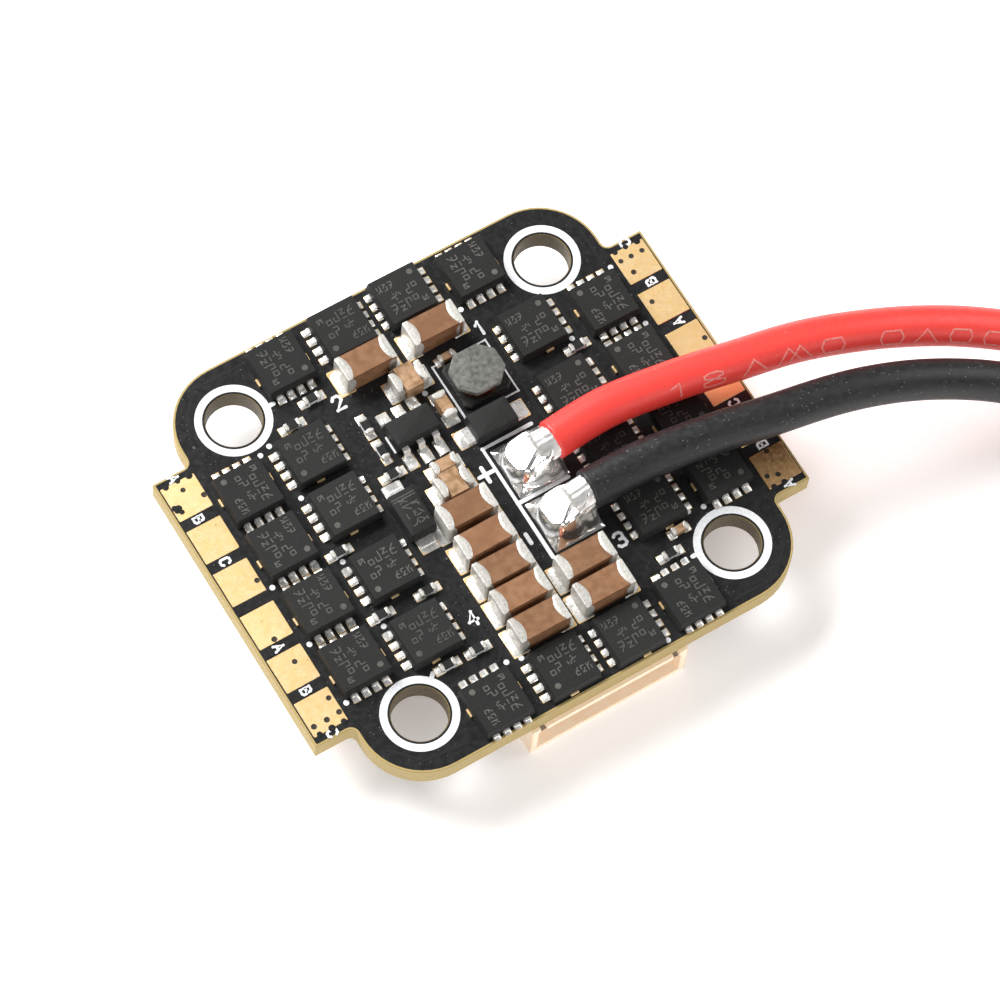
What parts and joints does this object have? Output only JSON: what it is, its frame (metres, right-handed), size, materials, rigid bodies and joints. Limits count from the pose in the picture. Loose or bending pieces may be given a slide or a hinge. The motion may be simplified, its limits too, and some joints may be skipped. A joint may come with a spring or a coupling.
{
  "type": "motor speed controller board",
  "caption": "Small stacking drone power board: power transistors round a row of ceramic capacitors, motor pads on two wings, two soldered battery leads and a side-entry signal connector.",
  "frame": {"origin": "centre of the four mounting holes on the board's underside", "axes": "+X towards the wing under the battery leads, +Y away from the signal connector, +Z towards the power transistors"},
  "size_m": [0.0633, 0.0655, 0.0078],
  "materials": {
    "black_mask": "glossy black solder mask over glass-fibre laminate",
    "gold_plating": "gold plated copper",
    "bright_tin": "bright tin and solder",
    "black_mould": "matt moulded epoxy",
    "brown_ceramic": "fired ceramic",
    "grey_ferrite": "matt sintered ferrite",
    "enamelled_copper": "enamelled wire",
    "bare_copper": "stranded copper",
    "red_silicone": "satin silicone",
    "black_silicone": "satin silicone",
    "black_sleeve": "heat-shrink",
    "ivory_nylon": "natural nylon",
    "yellow_nylon": "yellow nylon"
  },
  "bodies": {
    "root": {"circuit_board": "black_mask", "motor_pads": "gold_plating", "battery_pads": "bright_tin", "solder_lands": "bright_tin", "mosfet_leads": "bright_tin", "bulk_capacitor_terminals": "bright_tin", "regulator_capacitors": "brown_ceramic", "gate_resistors": "black_mould", "chip_terminals": "bright_tin", "inductor_core": "grey_ferrite", "inductor_winding": "enamelled_copper", "protection_diode": "black_mould", "catch_diode": "black_mould", "diode_terminals": "bright_tin", "regulator_chip": "black_mould", "positive_solder_joint": "bright_tin", "negative_solder_joint": "bright_tin", "positive_lead": "red_silicone", "negative_lead": "black_silicone", "lead_strands": "bare_copper", "lead_sleeves": "black_sleeve", "battery_connector_housing": "yellow_nylon", "battery_connector_contacts": "gold_plating", "signal_connector_housing": "ivory_nylon", "signal_connector_contacts": "bright_tin", "microcontrollers": "black_mould", "gate_drivers": "black_mould", "mosfet_1": "black_mould", "mosfet_2": "black_mould", "mosfet_3": "black_mould", "mosfet_4": "black_mould", "mosfet_5": "black_mould", "mosfet_6": "black_mould", "mosfet_7": "black_mould", "mosfet_8": "black_mould", "mosfet_9": "black_mould", "mosfet_10": "black_mould", "mosfet_11": "black_mould", "mosfet_12": "black_mould", "mosfet_13": "black_mould", "mosfet_14": "black_mould", "mosfet_15": "black_mould", "mosfet_16": "black_mould", "mosfet_17": "black_mould", "mosfet_18": "black_mould", "mosfet_19": "black_mould", "mosfet_20": "black_mould", "mosfet_21": "black_mould", "mosfet_22": "black_mould", "mosfet_23": "black_mould", "mosfet_24": "black_mould", "bulk_capacitor_1": "brown_ceramic", "bulk_capacitor_2": "brown_ceramic", "bulk_capacitor_3": "brown_ceramic", "bulk_capacitor_4": "brown_ceramic", "bulk_capacitor_5": "brown_ceramic", "bulk_capacitor_6": "brown_ceramic", "bulk_capacitor_7": "brown_ceramic", "bulk_capacitor_8": "brown_ceramic", "bulk_capacitor_9": "brown_ceramic"}
  },
  "joints": []
}
